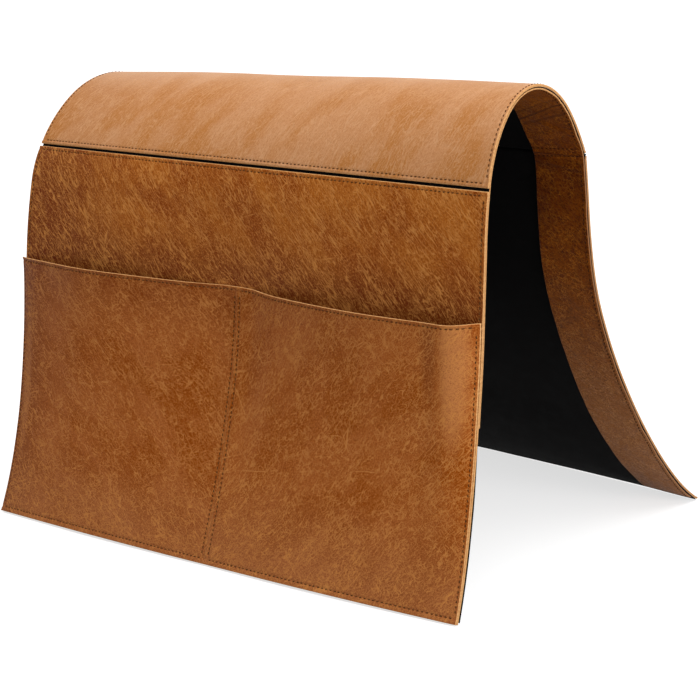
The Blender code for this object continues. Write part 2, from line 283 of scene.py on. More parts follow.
# Slow waves over the whole cover, that are calm beside the folds: their height and size
WAVE, WAVE_SIZE = 0.7 * MM, 110 * MM
RIPPLE, RIPPLE_SIZE = 0.25 * MM, 42 * MM
CALM, CALM_FADE = 4 * MM, 40 * MM
HEM_BOW = 1.6 * MM
SEAM_SINK = 3.5 * MM
SEAM_SINK_WIDTH = 55 * MM


def relief(across, s):
    """How far the whole stack stands out at a place: slow waves, and the pockets' pull on the panel."""
    waves = WAVE * lattice_noise(3, across, s, WAVE_SIZE) + RIPPLE * lattice_noise(5, across, s, RIPPLE_SIZE)
    free = 1
    for fold in (FRONT_FOLD_S, BACK_FOLD_S):
        free = free * smooth_step((np.abs(s - fold) - CALM) / CALM_FADE)
    down = np.clip((MOUTH - s) / (MOUTH - FRONT_HEM), 0, 1)
    bow = HEM_BOW * np.abs(np.sin(math.pi * across / HALF_WIDTH)) * smooth_step(down)
    rise = smooth_step((SLIT_BOTTOM - s) / (SLIT_BOTTOM - MOUTH)) * (1 - smooth_step(down))
    sink = SEAM_SINK * np.exp(-((across / SEAM_SINK_WIDTH) ** 2)) * rise
    return free * waves + np.where(s < FRONT_FOLD_S, bow - sink, 0)


def point(across, s, depth):
    """World points of places x, distances s and depths, as an array whose last axis is x, y, z."""
    across, s, depth = np.broadcast_arrays(across, s, depth)
    y, z, heading = at(across, s)
    out = relief(across, s) - depth
    return np.stack([across, y - np.sin(heading) * out, z + np.cos(heading) * out], -1)


def unit(vectors):
    return vectors / np.linalg.norm(vectors, axis=-1, keepdims=True)


def face_normal(across, s):
    _, _, heading = at(across, s)
    return np.stack([np.zeros_like(heading), -np.sin(heading), np.cos(heading)], -1)


LEAST_STEP = 0.06 * MM


def near_row(position, row):
    """A stitch row's groove: 1 on the row, 0 from its half width on."""
    return 1 - smooth_step(np.abs(position - row) / GROOVE_HALF_WIDTH)


def grid_lines(start, end, spacing, rows=()):
    """Grid lines from start to end, closer beside rounded edges and rows of stitches."""
    count = max(2, round((end - start) / spacing) + 1)
    found = list(np.linspace(start, end, count))
    near = EDGE_RADIUS * np.array([0.2, 0.55, 1.0])
    found += [*(start + near), *(end - near)]
    for row in rows:
        found += [row + step * GROOVE_HALF_WIDTH for step in (-1, -0.55, 0, 0.55, 1)]
    found = sorted(value for value in found if start <= value <= end)
    kept = [found[0]]
    for value in found[1:]:
        if value - kept[-1] > LEAST_STEP:
            kept.append(value)
    kept[-1] = end
    return np.array(kept)


def edge_drop(xs, ss, radii):
    """How far the rounding of the cut edges draws each grid point in, for the four edges' radii."""
    across, s = np.meshgrid(xs, ss, indexing="ij")
    drop = np.zeros(across.shape)
    for radius, far in zip(radii, (across - xs[0], xs[-1] - across, s - ss[0], ss[-1] - s)):
        inside = np.clip(radius - far, 0, radius)
        drop = np.maximum(drop, radius - np.sqrt(np.maximum(radius**2 - inside**2, 0)))
    return drop


def placed(name, data):
    """A new object with this data, in the scene."""
    piece = bpy.data.objects.new(name, data)
    bpy.context.scene.collection.objects.link(piece)
    return piece


def new_mesh(name, points, loops, starts, materials):
    """A mesh from its points, its faces' corners in one row, and where each face starts in that row."""
    mesh = bpy.data.meshes.new(name)
    mesh.vertices.add(len(points))
    mesh.vertices.foreach_set("co", points.astype(np.float32).ravel())
    mesh.loops.add(len(loops))
    mesh.loops.foreach_set("vertex_index", loops.astype(np.int32))
    mesh.polygons.add(len(starts))
    mesh.polygons.foreach_set("loop_start", starts.astype(np.int32))
    for material in materials:
        mesh.materials.append(material)
    mesh.update(calc_edges=True)
    mesh.validate()
    mesh.shade_smooth()
    return mesh


SHARP_ANGLE = 50


def mesh_object(name, points, quads, kinds, materials, flat):
    """A mesh object from arrays, with its pattern coordinates in the attribute called flat."""
    mesh = new_mesh(name, points, quads.ravel(), np.arange(len(quads)) * 4, materials)
    mesh.polygons.foreach_set("material_index", kinds.astype(np.int32))
    attribute = mesh.attributes.new("flat", "FLOAT_VECTOR", "POINT")
    attribute.data.foreach_set("vector", flat.astype(np.float32).ravel())
    mesh.set_sharp_from_angle(angle=math.radians(SHARP_ANGLE))
    return placed(name, mesh)


# The materials' places in a sheet's list
FACE, CUT, BACK = 0, 1, 2


def sheet_piece(name, xs, ss, depth, thickness, materials, radii, trim=None):
    """A closed sheet over grid lines. depth is a function of x and s, trim moves the places a little.

    radii round its edges at the first and last x and at the first and last s.
    """
    across, s = np.meshgrid(xs, ss, indexing="ij")
    if trim is not None:
        across, s = trim(across, s)
    drop = edge_drop(xs, ss, radii)
    top = depth(across, s)
    outer = point(across, s, top + drop)
    inner = point(across, s, top + thickness - drop)
    nx, ns = across.shape
    count = nx * ns
    grid = np.arange(count).reshape(nx, ns)
    faces = np.stack([grid[:-1, :-1], grid[1:, :-1], grid[1:, 1:], grid[:-1, 1:]], -1).reshape(-1, 4)
    cut = (drop.ravel()[faces] > CUT_SHARE * EDGE_RADIUS).any(-1)
    quads = [faces, faces[:, [0, 3, 2, 1]] + count]
    kinds = [np.where(cut, CUT, FACE), np.where(cut, CUT, BACK)]
    for upper, turn in ((grid[:, 0], 1), (grid[:, -1], -1), (grid[0], -1), (grid[-1], 1)):
        lower = upper + count
        quads.append(np.stack([upper[:-1], lower[:-1], lower[1:], upper[1:]], -1)[:, ::turn])
        kinds.append(np.full(len(upper) - 1, CUT))
    layer = np.repeat([0.0, 1.0], count)
    flat = np.stack([np.tile(across.ravel(), 2), np.tile(s.ravel(), 2), layer], -1)
    points = np.concatenate([outer.reshape(-1, 3), inner.reshape(-1, 3)])
    return mesh_object(name, points, np.concatenate(quads), np.concatenate(kinds), materials, flat)


def stitch_row(name, path, length, depth, material, side=1):
    """Separate stitches along a path. path gives x and s for a share of the row's length.

    side is 1 for stitches that stand out of an outer face and -1 for those on an inner one.
    """
    count = max(1, int(length / PITCH))
    first = (length - (count - 1) * PITCH) / 2
    rng = np.random.default_rng(sum(map(ord, name)))
    middles = first + np.arange(count) * PITCH + rng.normal(0, STITCH_SPREAD, count)
    ends = np.linspace(-0.5, 0.5, STITCH_RINGS)
    along = middles[:, None] + ends * STITCH_LENGTH * rng.normal(1, STITCH_LENGTH_SPREAD, (count, 1))
    across, s = path(along / length)
    ahead_x, ahead_s = path(along / length + 1e-4)
    direction = unit(np.stack([ahead_x - across, ahead_s - s], -1))
    sideways = ends * STITCH_LENGTH * STITCH_SLANT
    across = across - direction[..., 1] * sideways
    s = s + direction[..., 0] * sideways
    lift = THREAD_RADIUS * (THREAD_LIFT - THREAD_DIVE * (2 * ends) ** 4)
    centres = point(across, s, depth(across, s) - side * lift)
    tangents = unit(np.gradient(centres, axis=1))
    binormals = unit(np.cross(tangents, face_normal(across, s) * side))
    normals = np.cross(binormals, tangents)
    angle = (np.arange(THREAD_SIDES) * 2 * math.pi / THREAD_SIDES)[:, None]
    radius = THREAD_RADIUS * (1 - THREAD_TAPER * (2 * np.abs(ends)) ** 3)
    ring = binormals[:, :, None] * np.cos(angle) * THREAD_WIDTH
    ring = ring + normals[:, :, None] * np.sin(angle) * THREAD_HEIGHT
    rings = centres[:, :, None] + ring * radius[:, None, None]
    per = STITCH_RINGS * THREAD_SIDES
    tips = np.stack([centres[:, 0], centres[:, -1]], 1)
    points = np.concatenate([rings.reshape(count, per, 3), tips], 1).reshape(-1, 3)
    index = np.arange(per).reshape(STITCH_RINGS, THREAD_SIDES)
    after = np.roll(index, -1, 1)
    tube = np.stack([index[:-1], index[1:], after[1:], after[:-1]], -1).reshape(-1, 4)
    start = np.stack([np.full(THREAD_SIDES, per), index[0], after[0]], -1)
    finish = np.stack([np.full(THREAD_SIDES, per + 1), after[-1], index[-1]], -1)
    offsets = (np.arange(count) * (per + 2))[:, None, None]
    quads = (tube[None] + offsets).reshape(-1, 4)
    caps = (np.concatenate([start, finish])[None] + offsets).reshape(-1, 3)
    loops = np.concatenate([quads.ravel(), caps.ravel()])
    starts = np.concatenate([np.arange(len(quads)) * 4, len(quads) * 4 + np.arange(len(caps)) * 3])
    return placed(name, new_mesh(name, points, loops, starts, [material]))


def through(value, places, heights):
    """A smooth curve through a few chosen points, with flat ends."""
    places, heights = np.asarray(places, float), np.asarray(heights, float)
    slopes = np.gradient(heights, places)
    index = np.clip(np.searchsorted(places, value) - 1, 0, len(places) - 2)
    width = places[index + 1] - places[index]
    t = np.clip((value - places[index]) / width, 0, 1)
    first = heights[index] * (1 + 2 * t) * (1 - t) ** 2
    last = heights[index + 1] * t * t * (3 - 2 * t)
    turn = width * (slopes[index] * t * (1 - t) ** 2 + slopes[index + 1] * t * t * (t - 1))
    return first + last + turn


# How far each pocket's mouth stands off the panel, across the cover from the left edge to the right one
LEFT_PLACES = (-225, -216, -190, -157, -126, -97, -69, -40, -14)
LEFT_LIFTS = (0.6, 3.6, 8.5, 13.2, 12, 8.7, 5.6, 2.7, 0)
RIGHT_PLACES = (14, 39, 71, 103, 132, 158, 184, 207, 218, 225)
RIGHT_LIFTS = (0, 6.6, 11.7, 15.6, 17.6, 17.2, 15.4, 14, 7.5, 0.6)
MOUTH_PLACES = mm(*LEFT_PLACES, *RIGHT_PLACES)
MOUTH_LIFTS = mm(*LEFT_LIFTS, *RIGHT_LIFTS)
LIFT_DECAY = 1.25
# The left pocket's mouth stands out at its outer corner
FLARE = 1.6 * MM
FLARE_REACH = 11 * MM
POCKET_GAP = 0.12 * MM
MIDDLE_GAP = 0.12 * MM
MOUTH_RISE, MOUTH_REACH = 1.2 * MM, 30 * MM
CORNER_RISE, CORNER_REACH = 2.0 * MM, 12 * MM
# How far below the mouth the pocket is drawn up with it
MOUTH_PULL = 30 * MM


def mouth_rise(across):
    """How far the mouths rise past their straight line, in the middle and at the right corner."""
    middle = MOUTH_RISE * np.exp(-((across / MOUTH_REACH) ** 2))
    return middle + CORNER_RISE * np.exp(-(((across - HALF_WIDTH) / CORNER_REACH) ** 2))


def pocket_lift(across, s):
    """How far a pocket's inner face stands off the panel behind it."""
    up = np.clip((s - FRONT_HEM - HEM_INSET) / (MOUTH - FRONT_HEM - HEM_INSET), 0, 1)
    mouth = np.maximum(through(across, MOUTH_PLACES, MOUTH_LIFTS), 0)
    corner = across + HALF_WIDTH + np.maximum(MOUTH - s, 0)
    return mouth * up**LIFT_DECAY + FLARE * np.exp(-corner / FLARE_REACH) + POCKET_GAP


def middle_row(s):
    """How far a pocket's middle row lies from the centre line: it opens a little towards the hem."""
    down = np.clip((MOUTH - s) / (MOUTH - FRONT_HEM), 0, 1)
    return (2.3 + 1.0 * down) * MM


def dimple(rows, edges):
    """How deep the rows of stitches draw a face in, less the lips beside them. Rows are functions of x and s.

    edges holds triples: where a cut edge lies along s, its row's distance from it, and how far from it
    the lip comes up.
    """

    def depth(across, s):
        drawn = GROOVE_DEPTH * np.maximum.reduce([row(across, s) for row in rows])
        raised = 0
        for edge, inset, rise in edges:
            far = np.abs(s - edge)
            lip = (1 - smooth_step(far / inset)) * smooth_step((far + 1e-9) / (rise + 1e-9))
            raised = np.maximum(raised, lip)
        return drawn - LIP * raised

    return depth


def side_rows(inset):
    return lambda across, s: near_row(np.abs(across), HALF_WIDTH - inset)


def row_at(place):
    return lambda across, s: near_row(s, place)


SLIT_TOP_ROW = SLIT_TOP + FOLD_INSET
SLIT_BOTTOM_ROW = SLIT_BOTTOM - FOLD_INSET
SEAM_TOP_ROW = SEAM_TOP - SEAM_INSET
SEAM_BOTTOM_ROW = SEAM_BOTTOM + SEAM_INSET
MOUTH_ROW = MOUTH - MOUTH_INSET
FRONT_HEM_ROW = FRONT_HEM + HEM_INSET
BACK_HEM_ROW = BACK_HEM - HEM_INSET

top_depth = dimple(
    [side_rows(TOP_SIDE_INSET), row_at(SLIT_TOP_ROW), row_at(SEAM_TOP_ROW)],
    [(SLIT_TOP, FOLD_INSET, FOLD_RISE), (SEAM_TOP, SEAM_INSET, FOLD_RISE)],
)
front_depth = dimple([side_rows(SIDE_INSET), row_at(SLIT_BOTTOM_ROW)], [(SLIT_BOTTOM, FOLD_INSET, FOLD_RISE)])
back_depth = dimple(
    [side_rows(SIDE_INSET), row_at(SEAM_BOTTOM_ROW), row_at(BACK_HEM_ROW)],
    [(SEAM_BOTTOM, SEAM_INSET, FOLD_RISE), (BACK_HEM, HEM_INSET, 0)],
)
pocket_groove = dimple(
    [
        side_rows(POCKET_SIDE_INSET),
        lambda across, s: near_row(s - mouth_rise(across), MOUTH_ROW),
        row_at(FRONT_HEM_ROW),
        lambda across, s: near_row(np.abs(across), middle_row(s)),
    ],
    [(MOUTH, MOUTH_INSET, 0), (FRONT_HEM, HEM_INSET, 0)],
)


def pocket_depth(across, s):
    return pocket_groove(across, s) - LEATHER - pocket_lift(across, s)


PANEL_STEP = 2.4 * MM
FACING_STEP = 1.4 * MM


def build_panels(leather, cut_edge, flesh):
    panels = {}
    for name, start, end, rows, depth, inset in (
        ("top", SLIT_TOP, SEAM_TOP, (SLIT_TOP_ROW, SEAM_TOP_ROW), top_depth, TOP_SIDE_INSET),
        ("front", FRONT_HEM, SLIT_BOTTOM, (SLIT_BOTTOM_ROW,), front_depth, SIDE_INSET),
        ("back", SEAM_BOTTOM, BACK_HEM, (SEAM_BOTTOM_ROW, BACK_HEM_ROW), back_depth, SIDE_INSET),
    ):
        xs = grid_lines(-HALF_WIDTH, HALF_WIDTH, PANEL_STEP, (-HALF_WIDTH + inset, HALF_WIDTH - inset))
        ss = grid_lines(start, end, PANEL_STEP, rows)
        looks = [leather[name], cut_edge, flesh]
        at_fold = [EDGE_RADIUS if edge in (FRONT_HEM, BACK_HEM) else FOLD_RADIUS for edge in (start, end)]
        radii = (EDGE_RADIUS, EDGE_RADIUS, *at_fold)
        panels[name] = sheet_piece(f"{name}_leather", xs, ss, depth, COVER, looks, radii)
    return panels


def build_pockets(leather, cut_edge, flesh):
    pockets = {}
    ss = grid_lines(FRONT_HEM, MOUTH, PANEL_STEP, (FRONT_HEM_ROW, MOUTH_ROW))
    rows = (middle_row(MOUTH), middle_row(FRONT_HEM), HALF_WIDTH - POCKET_SIDE_INSET)
    xs = grid_lines(MIDDLE_GAP, HALF_WIDTH, PANEL_STEP, rows)

    def trim(across, s):
        return across, s + mouth_rise(across) * smooth_step((s - MOUTH + MOUTH_PULL) / MOUTH_PULL)

    for name, places in (("left", -xs[::-1]), ("right", xs)):
        looks = [leather[name], cut_edge, flesh]
        radii = EDGE_RADIUS * np.array([name == "left", name == "right", 1, 1])
        pockets[name] = sheet_piece(f"{name}_pouch", places, ss, pocket_depth, LEATHER, looks, radii, trim)
    return pockets


LINING_SIDE = 0.6 * MM
# How far the lining comes out past the panel's side edges below the facings
LINING_PEEK, PEEK_FADE = 1.3 * MM, 60 * MM
LINING_HEM = 1.5 * MM
LINING_STEP = 3 * MM
LINING_STEP_ACROSS = 4 * MM
SEAM_REACH = 3 * MM
LINING_RADIUS = 0.2 * MM
BEAD, BEAD_REACH = 1.9 * MM, 1.2 * MM


def lining_depth(across, s):
    """The lining's outer face. It bulges a little into the open seam at the back fold."""
    bead = BEAD * np.maximum(1 - np.abs(s - BACK_FOLD_S) / BEAD_REACH, 0)
    return LINING_DEPTH + 0 * across - bead


def build_linings(lining):
    xs = grid_lines(-HALF_WIDTH + LINING_SIDE, HALF_WIDTH - LINING_SIDE, LINING_STEP_ACROSS)
    linings = {}

    def trim(across, s):
        out = LINING_PEEK * smooth_step((SLIT_BOTTOM - FRONT_FACING_DROP - s) / PEEK_FADE)
        out = out + LINING_SIDE * np.exp(-(((s - BACK_FOLD_S) / SEAM_REACH) ** 2))
        return across * (1 + out / HALF_WIDTH), s

    for name, start, end, fold in (
        ("front", FRONT_HEM + LINING_HEM, -RIDGE_HALF_GAP, FRONT_FOLD_S),
        ("back", RIDGE_HALF_GAP, BACK_HEM - LINING_HEM, BACK_FOLD_S),
    ):
        near_fold = [fold + step * MM for step in (-3, -2, -1, -0.5, 0, 0.5, 1, 2, 3)]
        ss = np.union1d(grid_lines(start, end, LINING_STEP), near_fold)
        radii = LINING_RADIUS * np.array([1, 1, name == "front", name == "back"])
        looks = [lining] * 3
        linings[name] = sheet_piece(f"{name}_lining_cloth", xs, ss, lining_depth, LINING, looks, radii, trim)
    return linings


CREASES = (
    # s, x across the strip as a share, length along x, width, depth, slant of s with x
    (47, 0.50, 42, 2.6, 1.3, -0.5),
    (55, 0.45, 34, 2.6, 0.9, -0.4),
    (66, 0.60, 30, 3.6, 1.0, 0.35),
    (74, 0.35, 26, 2.6, 0.7, -0.3),
    (101, 0.55, 34, 3.4, 0.8, 0.15),
    (112, 0.30, 24, 3.0, 0.5, -0.4),
)
# Where the strip is cut narrower, and by how much
NARROW_PLACES = mm(-400, 50, 75, 92, 110, 130, 170, 250, 310, 600)
NARROW_WIDTHS = mm(0, -1.5, 0, 3.4, 4.4, 3.6, 2.6, 2.4, 0, 0)
SEAM_RIDGE, RIDGE_REACH = 0.7 * MM, 1.6 * MM
STRIP_RUFFLE, RUFFLE_SIZE, RUFFLE_FADE = 0.35 * MM, 14 * MM, 40 * MM
SEAM_TILT = 3.0 * MM
SEAM_GROOVE = 0.4 * MM


def facing_depth(across, s):
    """The facing's outer face. Its inner one shows in the arch, creased where the strip is bent."""
    along = np.abs(across)
    bulge = 0
    for place, share, length, width, deep, slant in CREASES:
        middle = HALF_WIDTH - FACING_WIDTH * (1 - share)
        off_x = (along - middle) / (length / 2 * MM)
        off_s = (s - place * MM - slant * (along - middle)) / (width / 2 * MM)
        bulge = bulge + deep * MM * np.exp(-(off_x**2) - off_s**2)
    ridge = SEAM_RIDGE * np.exp(-(((s - BACK_FOLD_S) / RIDGE_REACH) ** 2))
    tilted = s + SEAM_TILT * (1 - (HALF_WIDTH - along) / FACING_WIDTH)
    for row in (SEAM_TOP_ROW, SEAM_BOTTOM_ROW):
        ridge = ridge - SEAM_GROOVE * near_row(tilted, row)
    ruffle = STRIP_RUFFLE * (1 + lattice_noise(11, along, s, RUFFLE_SIZE)) * smooth_step(s / RUFFLE_FADE)
    return FACING_DEPTH + np.maximum(bulge + ridge + ruffle, 0)


def build_facings(facing, cut_edge):
    facings = {}
    rows = (HALF_WIDTH - SIDE_INSET,)
    xs = grid_lines(HALF_WIDTH - FACING_WIDTH, HALF_WIDTH - FACING_INSET, FACING_STEP, rows)

    def trim(across, s):
        narrow = through(s, NARROW_PLACES, NARROW_WIDTHS) / FACING_WIDTH
        return across + np.sign(across) * (HALF_WIDTH - np.abs(across)) * narrow, s

    for half, start, end, step in (
        ("front", SLIT_BOTTOM - FRONT_FACING_DROP, -RIDGE_HALF_GAP, PANEL_STEP),
        ("back", RIDGE_HALF_GAP, BACK_HEM - FACING_SETBACK, FACING_STEP),
    ):
        ss = grid_lines(start, end, step)
        radii = EDGE_RADIUS * np.array([1, 1, half == "front", half == "back"])
        for side, places in (("left", -xs[::-1]), ("right", xs)):
            name = f"{half}_{side}_strip"
            looks = [facing, cut_edge, facing]
            facings[half, side] = sheet_piece(name, places, ss, facing_depth, FACING, looks, radii, trim)
    return facings


def straight(start, end):
    """A row's path between two places (x, s) of the pattern."""
    return lambda share: tuple(a + (b - a) * share for a, b in zip(start, end))


# How far a row keeps off the row that it meets, and where the rows inside start on the facing
ROW_CLEAR = 2.5 * MM
INNER_ROW_START = 2 * MM


def build_stitching(thread):
    """Every row on the outer face, as triples: object, body and the CAD row that it stands for."""
    rows = []
    reach = HALF_WIDTH - SIDE_INSET

    def add(name, body, path, length, depth):
        piece = stitch_row(f"{name}_stitches", path, length, depth, thread)
        rows.append((piece, body, f"{name}_stitching"))

    for name, body, s, depth in (
        ("slit_upper", "arch", SLIT_TOP_ROW, top_depth),
        ("slit_lower", "front_flap", SLIT_BOTTOM_ROW, front_depth),
        ("seam_upper", "arch", SEAM_TOP_ROW, top_depth),
        ("seam_lower", "back_flap", SEAM_BOTTOM_ROW, back_depth),
        ("back_hem", "back_flap", BACK_HEM_ROW, back_depth),
    ):
        add(name, body, straight((-reach, s), (reach, s)), 2 * reach, depth)

    low, high = FRONT_HEM_ROW + ROW_CLEAR, MOUTH_ROW - ROW_CLEAR
    for side, turn in (("left", -1), ("right", 1)):
        top_row, side_row = turn * (HALF_WIDTH - TOP_SIDE_INSET), turn * reach
        outer, inner = turn * (HALF_WIDTH - POCKET_SIDE_INSET), turn * middle_row(MOUTH)
        pocket = f"{side}_pocket"
        for name, body, row, start, end, depth in (
            (f"top_{side}", "arch", top_row, SLIT_TOP_ROW, SEAM_TOP_ROW, top_depth),
            (f"front_{side}", "front_flap", side_row, MOUTH, SLIT_BOTTOM_ROW, front_depth),
            (f"back_{side}", "back_flap", side_row, SEAM_BOTTOM_ROW, BACK_HEM_ROW, back_depth),
            (f"{pocket}_side", "front_flap", outer, FRONT_HEM_ROW, MOUTH_ROW, pocket_depth),
        ):
            start, end = start + ROW_CLEAR, end - ROW_CLEAR
            add(name, body, straight((row, start), (row, end)), end - start, depth)

        def middle(share, turn=turn):
            s = low + (high - low) * share
            return turn * middle_row(s), s

        def mouth(share, inner=inner, outer=outer):
            across = inner + (outer - inner) * share
            return across, MOUTH_ROW + mouth_rise(across)

        width = abs(outer - inner)
        add(f"{pocket}_middle", "front_flap", middle, high - low, pocket_depth)
        add(f"{pocket}_mouth", "front_flap", mouth, width, pocket_depth)
        hem = straight((inner, FRONT_HEM_ROW), (outer, FRONT_HEM_ROW))
        add(f"{pocket}_hem", "front_flap", hem, width, pocket_depth)
    return rows


def inner_face(across, s):
    return facing_depth(across, s) + FACING


def build_inner_stitching(thread):
    """The rows as they show on the facings inside, with their bodies: each seam's edges, and the sides."""
    rows = []
    reach = HALF_WIDTH - SIDE_INSET
    inner = HALF_WIDTH - FACING_WIDTH + INNER_ROW_START

    def add(name, body, path, length):
        rows.append((stitch_row(f"{name}_inner_stitches", path, length, inner_face, thread, -1), body))

    for side, turn in (("left", -1), ("right", 1)):
        for name, body, s, tilt in (
            ("slit_upper", "arch", SLIT_TOP_ROW, 0),
            ("slit_lower", "front_flap", SLIT_BOTTOM_ROW, 0),
            ("seam_upper", "arch", SEAM_TOP_ROW, SEAM_TILT),
            ("seam_lower", "back_flap", SEAM_BOTTOM_ROW, SEAM_TILT),
        ):
            path = straight((turn * inner, s), (turn * reach, s - tilt))
            add(f"{name}_{side}", body, path, reach - inner)
        for name, body, start, end in (
            ("arch", "arch", SLIT_TOP_ROW, SEAM_TOP_ROW - SEAM_TILT),
            ("front", "front_flap", SLIT_BOTTOM - FRONT_FACING_DROP, SLIT_BOTTOM_ROW),
            ("back", "back_flap", SEAM_BOTTOM_ROW, BACK_HEM - FACING_SETBACK),
        ):
            start, end = start + ROW_CLEAR, end - ROW_CLEAR
            add(f"{name}_{side}", body, straight((turn * reach, start), (turn * reach, end)), end - start)
    return rows


class Graph:
    """A node tree, built from short calls. A socket as a value is linked, anything else is set."""

    def __init__(self, name=None, tree=None):
        if tree is None:
            self.material = bpy.data.materials.new(name)
            self.material.use_nodes = True
            tree = self.material.node_tree
        self.tree = tree
        self.tree.nodes.clear()

    def put(self, socket, value):
        if isinstance(value, bpy.types.NodeSocket):
            self.tree.links.new(value, socket)
        else:
            socket.default_value = value

    def add(self, kind, inputs=(), **settings):
        node = self.tree.nodes.new("ShaderNode" + kind)
        for key, value in settings.items():
            setattr(node, key, value)
        for key, value in dict(inputs).items():
            self.put(node.inputs[key], value)
        return node

    def math(self, operation, a, b=0.5, c=0.5):
        return self.add("Math", {0: a, 1: b, 2: c}, operation=operation).outputs[0]

    def blend(self, *parts):
        """The sum of values times their weights."""
        total = 0.0
        for value, weight in parts:
            total = self.math("MULTIPLY_ADD", value, weight, total)
        return total

    def mix(self, share, a, b):
        node = self.add("Mix", data_type="RGBA", clamp_factor=True)
        sockets = {s.identifier: s for s in node.inputs}
        self.put(sockets["Factor_Float"], share)
        for key, value in (("A_Color", a), ("B_Color", b)):
            self.put(sockets[key], value if isinstance(value, bpy.types.NodeSocket) else (*value, 1))
        return next(s for s in node.outputs if s.identifier == "Result_Color")

    def ramp(self, share, low, high, start=0.0, end=1.0):
        """share between low and high, mapped to start and end and eased."""
        return self.add(
            "MapRange",
            {"Value": share, "From Min": low, "From Max": high, "To Min": start, "To Max": end},
            interpolation_type="SMOOTHSTEP",
        ).outputs["Result"]

    def pattern(self, offset=(0, 0, 0), turn=0.0, stretch=(1, 1, 1)):
        """The flat pattern's coordinates in millimetres, turned, then squeezed along its axes."""
        flat = self.add("Attribute", attribute_name="flat", attribute_type="GEOMETRY").outputs["Vector"]
        scaled = self.add("Mapping", {"Vector": flat, "Location": offset, "Scale": (1000, 1000, 40)})
        return self.turned(scaled.outputs[0], turn, stretch)

    def places(self):
        """The flat pattern's places across the cover, along it and through it, as three values."""
        return self.add("SeparateXYZ", {"Vector": self.pattern()}).outputs

    def turned(self, vector, turn, stretch):
        turned = self.add("Mapping", {"Vector": vector, "Rotation": (0, 0, math.radians(turn))})
        return self.add("Mapping", {"Vector": turned.outputs[0], "Scale": stretch}).outputs[0]

    def noise(self, vector, size, detail=3.0, rough=0.5, distortion=0.0, output="Fac"):
        inputs = {"Vector": vector, "Scale": 1 / size, "Detail": detail, "Roughness": rough}
        return self.add("TexNoise", {**inputs, "Distortion": distortion}).outputs[output]

    def warped(self, vector, size, reach):
        """Coordinates shifted by a noise of this size, by up to about half the reach."""
        shift = self.noise(vector, size, 2.0, output="Color")
        scaled = self.add("VectorMath", {0: shift, 3: reach}, operation="SCALE").outputs[0]
        return self.add("VectorMath", {0: vector, 1: scaled}, operation="ADD").outputs[0]

    def cracks(self, vector, size, width):
        """A net of cell borders: 1 on a border, 0 beside it."""
        distance = self.add(
            "TexVoronoi", {"Vector": vector, "Scale": 1 / size}, feature="DISTANCE_TO_EDGE"
        ).outputs["Distance"]
        return self.ramp(distance, 0.0, width, 1, 0)

    def wrinkles(self, vector, size, width):
        """Thin lines that wander and meet, along the level lines of a noise."""
        level = self.noise(vector, size, 1.0, 0.5)
        off = self.math("ABSOLUTE", self.math("SUBTRACT", level, 0.5))
        return self.ramp(off, 0.0, width, 1, 0)

    def shown(self, lit, seen, output):
        """Ends in lit, but in seen for rays from the camera and for those that gloss and glass send on."""
        path = self.add("LightPath")
        found = self.math("MAXIMUM", path.outputs["Is Camera Ray"], path.outputs["Is Glossy Ray"])
        found = self.math("MAXIMUM", found, path.outputs["Is Transmission Ray"])
        mixed = self.add("MixShader", {0: found, 1: lit.outputs[0], 2: seen.outputs[0]})
        self.add(output, {"Surface": mixed.outputs[0]})

    def finish(self, color, height, roughness, strength=0.5, distance=0.0004, **shader):
        bump = self.add("Bump", {"Height": height, "Strength": strength, "Distance": distance})
        inputs = {"Base Color": color, "Roughness": roughness, "Normal": bump.outputs[0], **shader}
        surface = self.add("BsdfPrincipled", inputs)
        output = self.add("OutputMaterial", {"Surface": surface.outputs[0]})
        self.tree.nodes.active = output
        return self.material


# The hide's colours on each panel: its pores, where it is deep, where wax lightens it, and its wrinkles
# The top's colours are paler partly because pull-up leather pales where it is bent and partly as a painted
# sheen from the light above
TOP_HIDE_AND_SHEEN = ((0.28, 0.090, 0.010), (0.430, 0.165, 0.042), (0.500, 0.230, 0.098), (0.63, 0.35, 0.180))
FRONT_HIDE = ((0.11, 0.015, 0.001), (0.230, 0.044, 0.001), (0.342, 0.094, 0.009), (0.56, 0.230, 0.055))
BACK_HIDE = ((0.14, 0.026, 0.001), (0.290, 0.066, 0.001), (0.360, 0.105, 0.010), (0.58, 0.25, 0.070))
POCKET_HIDE = ((0.13, 0.020, 0.001), (0.245, 0.050, 0.001), (0.310, 0.082, 0.014), (0.50, 0.20, 0.050))
# The left pocket's colours are the pocket's made a little darker: painted shade, away from the light on the
# right
LEFT_HIDE_SHADED = ((0.12, 0.018, 0.001), (0.228, 0.046, 0.001), (0.290, 0.077, 0.014), (0.48, 0.19, 0.048))

